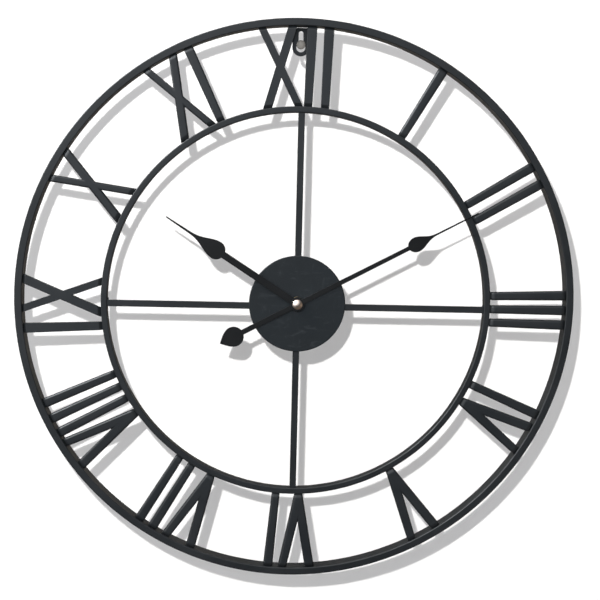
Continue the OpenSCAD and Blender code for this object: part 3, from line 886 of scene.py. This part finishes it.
class CLOCK_OT_battery(bpy.types.Operator):
    """Models the battery with its crimped ends and button"""

    bl_idname = "clock.battery"
    bl_label = "Battery"

    def execute(self, context):
        low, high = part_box("battery")
        radius = (high.z - low.z) / 2 / MM
        reach = (high.x - low.x) / MM
        body = reach - 1
        outline = [(0, 0), (radius - 2.4, 0), (radius - 2.2, 0.25), (radius - 1.1, 0.25),
                   (radius - 0.25, 0.05), (radius - 0.05, 0.5), (radius - 0.12, 0.75), (radius, 1.0),
                   (radius, body - 1.2), (radius - 0.12, body - 0.9), (radius - 0.08, body - 0.5),
                   (radius - 0.4, body - 0.1), (radius - 1.2, body), (radius - 1.6, body - 0.35),
                   (2.9, body - 0.35), (2.75, body - 0.1), (2.75, reach - 0.3), (2.45, reach),
                   (0, reach)]
        cell = lathe("battery_cell", outline, 96, closed=False)
        # The lathe's axis runs forwards: lay it along the bay, with the button to the right
        settle(cell, turn=(0, 0, math.pi / 2))
        settle(cell, offset=(low.x, (low.y + high.y) / 2, (low.z + high.z) / 2))
        finish_piece(cell, "battery_wrap", "frame", ["battery"], smooth=35)
        return {"FINISHED"}


class CLOCK_OT_works(bpy.types.Operator):
    """Finishes the wheels, coil, board and contacts inside the case"""

    bl_idname = "clock.works"
    bl_label = "Wheels and electrics"

    def execute(self, context):
        for slot, nodes in WORKS.items():
            for node in nodes:
                NODES[node].data.materials.clear()
                NODES[node].data.materials.append(bpy.data.materials[slot])
        return {"FINISHED"}


# ---------------------------------------------------------------- stage


class CLOCK_OT_stage(bpy.types.Operator):
    """Hangs the clock before a plain pale wall, with soft light and the camera"""

    bl_idname = "clock.stage"
    bl_label = "Stage"

    def execute(self, context):
        scene = context.scene
        s = scene.clock_stage
        scene.view_settings.view_transform = "Standard"

        # Wall: opaque from the front, clear from the back, with painted shade that darkens it behind the
        # dial
        deselect_all()
        bpy.ops.mesh.primitive_plane_add(size=8, location=(0, s.wall_gap, 0),
                                         rotation=(math.pi / 2, 0, 0))
        wall = context.object
        wall.name = "wall"
        plaster = Finish("wall_paint", 0.9, specular=0.0)
        # Painted shade: the wall's colour falls to 0.86 of itself near the middle, behind the dial
        reach = plaster.node("ShaderNodeVectorMath", operation="LENGTH")
        plaster.link(plaster.place, reach.inputs[0])
        plaster.paint(plaster.blend(plaster.spread(reach.outputs["Value"], 0.1, 0.62, 0, 1),
                                    tinted(s.wall, 0.86), s.wall))
        plaster.bump(plaster.noise(300, 3), 0.0001, 0.3)
        side = plaster.node("ShaderNodeNewGeometry").outputs["Backfacing"]
        clear = plaster.node("ShaderNodeBsdfTransparent")
        mix = plaster.node("ShaderNodeMixShader")
        plaster.link(side, mix.inputs[0])
        plaster.link(plaster.shader.outputs["BSDF"], mix.inputs[1])
        plaster.link(clear.outputs["BSDF"], mix.inputs[2])
        plaster.link(mix.outputs["Shader"], plaster.output.inputs["Surface"])
        wall.data.materials.append(plaster.material)
        wall.visible_glossy = False

        # Head and shank of the wall screw, in the keyhole
        head = lathe("wall_screw", [(0, 5.2), (2.4, 4.9), (4.3, 3.9), (4.7, 3.2), (4.7, 2.3), (2, 2.2),
                                    (2, -12), (0, -14)], 48, closed=False)
        settle(head, offset=(-0.002, 0, 0.2738))
        bpy.ops.object.shade_smooth_by_angle(angle=math.radians(40))
        zinc = Finish("screw_zinc", 0.45, metallic=0.2)
        zinc.paint(zinc.blend(zinc.noise(300, 3), (0.26, 0.245, 0.225), (0.13, 0.125, 0.115)))
        head.data.materials.append(zinc.material)

        def lamp(name, place, aim, size, energy, shade=(1, 1, 1), glossy=True, diffuse=True):
            bpy.ops.object.light_add(type="AREA", location=place)
            light = context.object
            light.name = name
            light.data.shape = "DISK" if size < 0.2 else "SQUARE"
            light.data.size = size
            light.data.energy = energy
            light.data.color = shade
            light.visible_glossy = glossy
            light.visible_diffuse = diffuse
            light.visible_camera = False
            light.rotation_euler = (Vector(aim) - Vector(place)).to_track_quat("-Z", "Y").to_euler()

        lamp("key_lamp", (-0.104, -1.177, 0.205), (0, 0, 0), 0.012, s.key_energy, glossy=False)
        lamp("soft_box", (-1.3, -0.35, 1.2), (0, 0, 0), 0.9, s.soft_energy, (0.9, 0.95, 1.0),
             diffuse=False)
        lamp("warm_card", (1.2, -0.35, -0.1), (0, 0, 0), 0.8, s.warm_energy, (1.0, 0.86, 0.72))
        lamp("back_fill", (0, s.wall_gap - 0.03, 0), (0, 0, 0), 0.7, s.back_energy, (1.0, 0.93, 0.85),
             glossy=False)

        # Room: white to the camera; to the clock, bright high on the left and dark elsewhere
        world = bpy.data.worlds.new("room")
        scene.world = world
        world.use_nodes = True
        nodes, links = world.node_tree.nodes, world.node_tree.links
        nodes.clear()
        towards = nodes.new("ShaderNodeVectorMath")
        towards.operation = "DOT_PRODUCT"
        towards.inputs[1].default_value = (-0.55, -0.5, 0.67)
        share = nodes.new("ShaderNodeMapRange")
        share.inputs["From Min"].default_value = -1
        ramp = nodes.new("ShaderNodeValToRGB")
        stops = [(0, (0.08, 0.066, 0.055)), (0.22, (0.1, 0.083, 0.068)), (0.42, (0.04, 0.038, 0.035)),
                 (0.56, (0.02, 0.021, 0.022)), (0.7, (0.085, 0.092, 0.1)), (0.75, (0.17, 0.185, 0.205)),
                 (0.81, (0.62, 0.69, 0.8)), (0.88, (1, 1, 1))]
        fill_ramp(ramp, stops)
        seen, lit = nodes.new("ShaderNodeBackground"), nodes.new("ShaderNodeBackground")
        seen.inputs["Color"].default_value = (1, 1, 1, 1)
        lit.inputs["Strength"].default_value = 4 * s.surround
        choice, out = nodes.new("ShaderNodeMixShader"), nodes.new("ShaderNodeOutputWorld")
        links.new(nodes.new("ShaderNodeTexCoord").outputs["Generated"], towards.inputs[0])
        links.new(towards.outputs["Value"], share.inputs["Value"])
        links.new(share.outputs["Result"], ramp.inputs["Fac"])
        links.new(ramp.outputs["Color"], lit.inputs["Color"])
        links.new(nodes.new("ShaderNodeLightPath").outputs["Is Camera Ray"], choice.inputs[0])
        links.new(lit.outputs["Background"], choice.inputs[1])
        links.new(seen.outputs["Background"], choice.inputs[2])
        links.new(choice.outputs["Shader"], out.inputs["Surface"])

        # Camera: aimed from its place to a point on the dial, and tilted a little
        place, aim, tilt = Vector((-0.0548, -1.1771, 0.1287)), Vector((0.0029, -0.018, 0.0043)), 1.415
        ahead = (aim - place).normalized()
        level = ahead.cross(Vector((0, 0, 1))).normalized()
        above = level.cross(ahead)
        a = math.radians(tilt)
        right = level * math.cos(a) + above * math.sin(a)
        up = above * math.cos(a) - level * math.sin(a)
        pose = Matrix((right, up, -ahead)).transposed()
        bpy.ops.object.camera_add(location=place, rotation=pose.to_euler())
        camera = context.object
        camera.name = "camera"
        camera.data.lens = s.lens
        camera.data.sensor_width = 36
        scene.camera = camera
        return {"FINISHED"}


# ---------------------------------------------------------------- add-on


class CLOCK_PT_panel(bpy.types.Panel):
    """Lists the steps that make the clock"""

    bl_label = "Clock"
    bl_idname = "CLOCK_PT_panel"
    bl_space_type = "VIEW_3D"
    bl_region_type = "UI"
    bl_category = "Clock"

    def draw(self, context):
        for step in STEPS:
            self.layout.operator(step.bl_idname)


STEPS = (CLOCK_OT_finishes, CLOCK_OT_rings, CLOCK_OT_numerals, CLOCK_OT_welds, CLOCK_OT_spokes,
         CLOCK_OT_centre_disc, CLOCK_OT_hanger, CLOCK_OT_hands, CLOCK_OT_fixings, CLOCK_OT_stem,
         CLOCK_OT_case, CLOCK_OT_knob, CLOCK_OT_battery, CLOCK_OT_works, CLOCK_OT_stage)
CLASSES = (ClockSizes, ClockColours, ClockStage, *STEPS, CLOCK_PT_panel)


def register():
    for cls in CLASSES:
        bpy.utils.register_class(cls)
    bpy.types.Scene.clock_sizes = PointerProperty(type=ClockSizes)
    bpy.types.Scene.clock_colours = PointerProperty(type=ClockColours)
    bpy.types.Scene.clock_stage = PointerProperty(type=ClockStage)


def unregister():
    del bpy.types.Scene.clock_sizes, bpy.types.Scene.clock_colours, bpy.types.Scene.clock_stage
    for cls in reversed(CLASSES):
        bpy.utils.unregister_class(cls)


def main():
    register()
    for step in STEPS:
        group, name = step.bl_idname.split(".")
        if getattr(getattr(bpy.ops, group), name)() != {"FINISHED"}:
            raise RuntimeError(f"{step.bl_label} did not finish")


if __name__ == "__main__":
    main()
